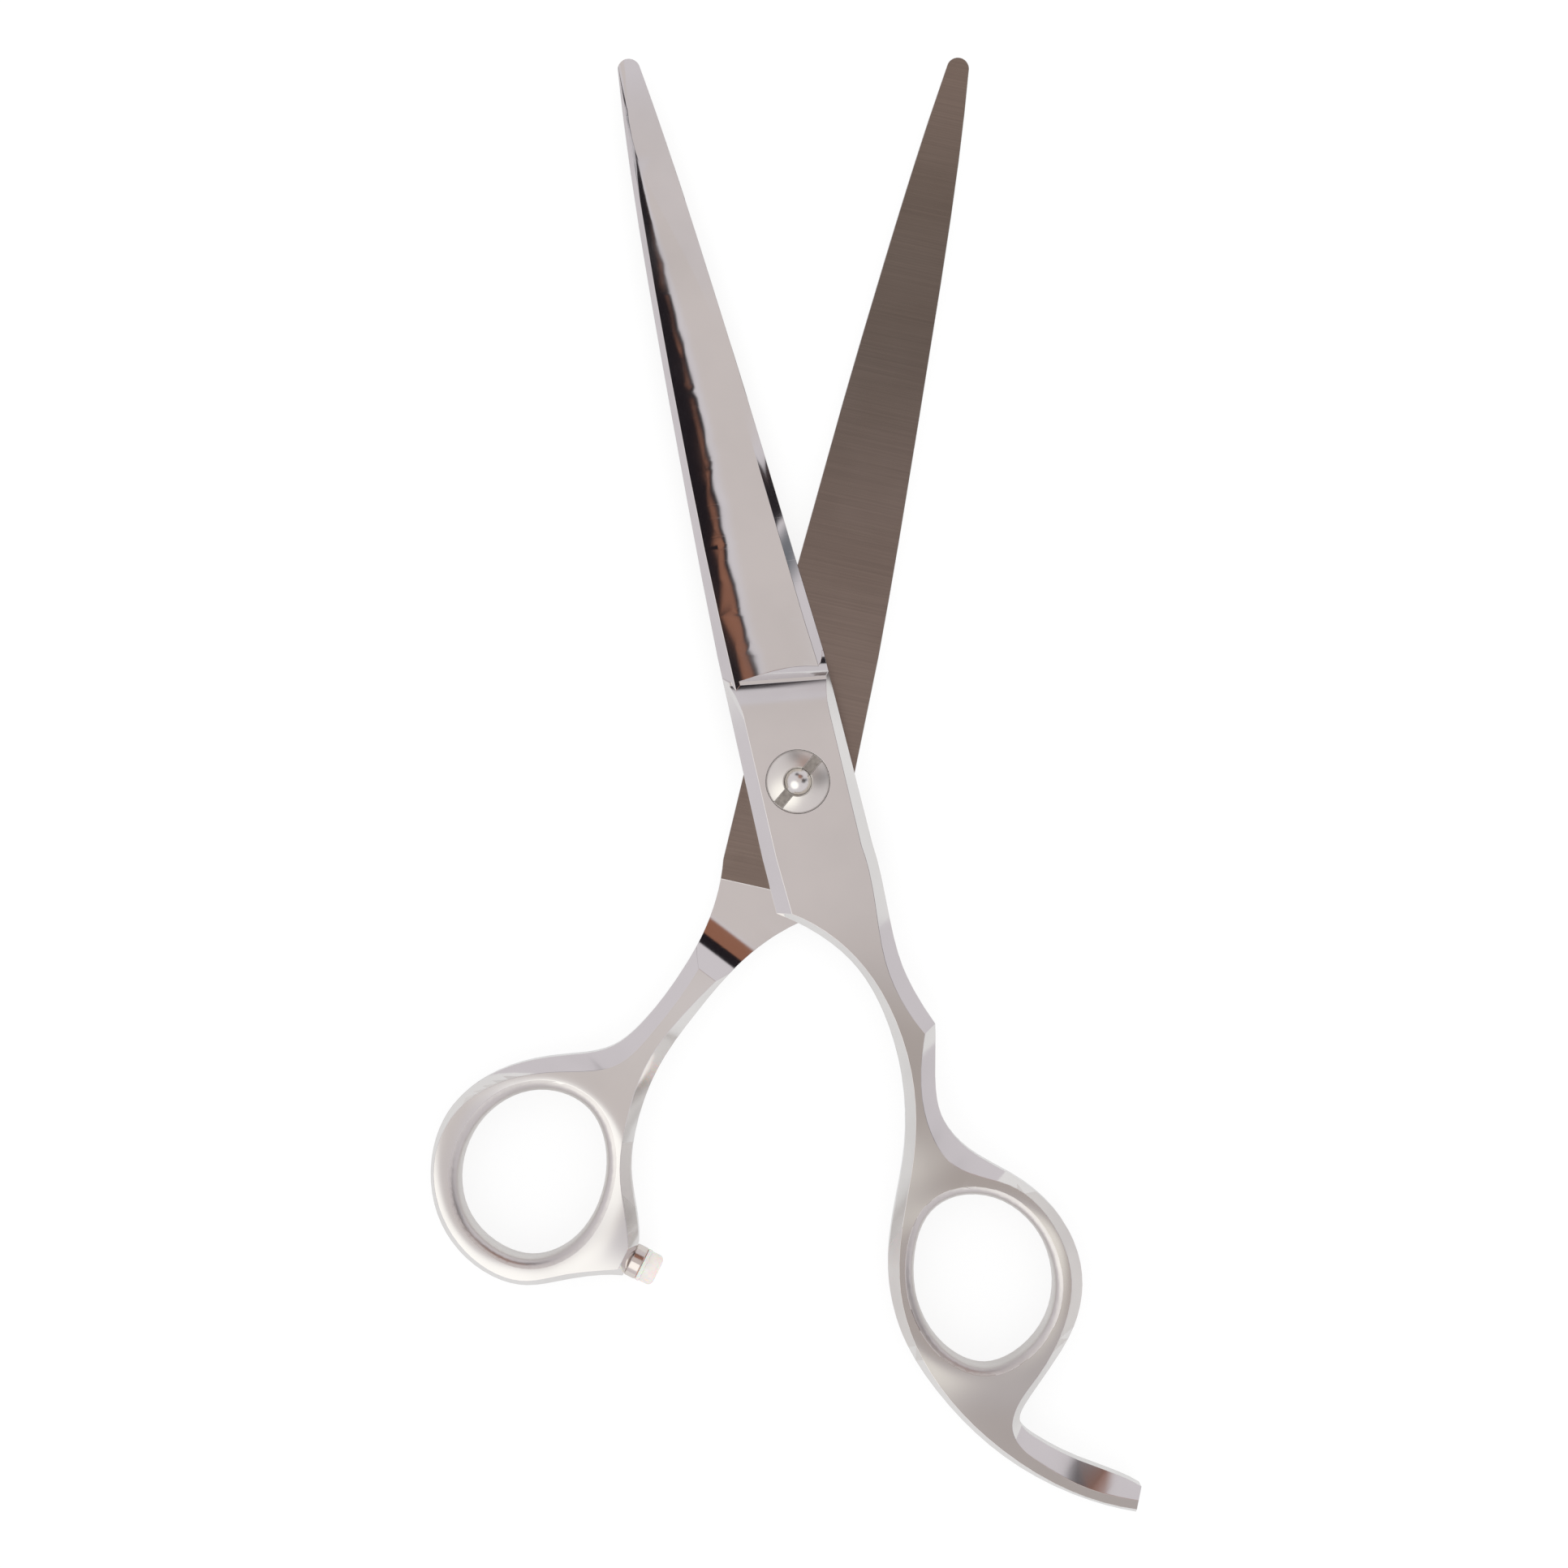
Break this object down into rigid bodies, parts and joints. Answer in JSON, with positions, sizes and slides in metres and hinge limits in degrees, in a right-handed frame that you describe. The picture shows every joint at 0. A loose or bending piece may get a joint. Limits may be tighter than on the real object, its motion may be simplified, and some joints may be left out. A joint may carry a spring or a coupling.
{
  "type": "hair cutting shears",
  "caption": "Long-bladed hair cutting shears with offset finger rings, a fixed curved finger rest, a domed slotted tension nut and a soft bumper on the thumb ring.",
  "frame": {"origin": "on the pivot axis, at the level of the flat back face that the shears lie on", "axes": "+Y towards the blade tips along the line midway between the open blades, +Z along the pivot axis from the back to the tension nut, +X towards the finger ring"},
  "size_m": [0.0922, 0.1888, 0.0077],
  "materials": {
    "polished_steel": "mirror polished stainless steel",
    "polished_steel_back": "mirror polished stainless steel with a satin ground inner face",
    "bolt_steel": "polished stainless steel",
    "nut_steel": "bright nickel plated",
    "spring_steel": "plain spring steel",
    "nylon": "natural nylon",
    "bumper_steel": "turned, nickel plated",
    "bumper_plastic": "milky translucent nylon"
  },
  "bodies": {
    "thumb_half": {"thumb_blade": "polished_steel_back", "pivot_bolt": "bolt_steel", "bearing_washer": "nylon", "bumper_base": "bumper_steel", "bumper_cap": "bumper_plastic"},
    "finger_half": {"finger_blade": "polished_steel", "pivot_sleeve": "nylon", "spring_washer": "spring_steel"},
    "nut": {"tension_nut": "nut_steel"}
  },
  "joints": [
    {"name": "blade_pivot", "type": "hinge", "parent": "thumb_half", "child": "finger_half", "pos_m": [0, 0, 0], "axis": [0, 0, 1], "range_deg": [-26, 50]},
    {"name": "tension_adjust", "type": "hinge", "parent": "thumb_half", "child": "nut", "pos_m": [0, 0, 0], "axis": [0, 0, 1], "range_deg": [-90, 90]}
  ]
}
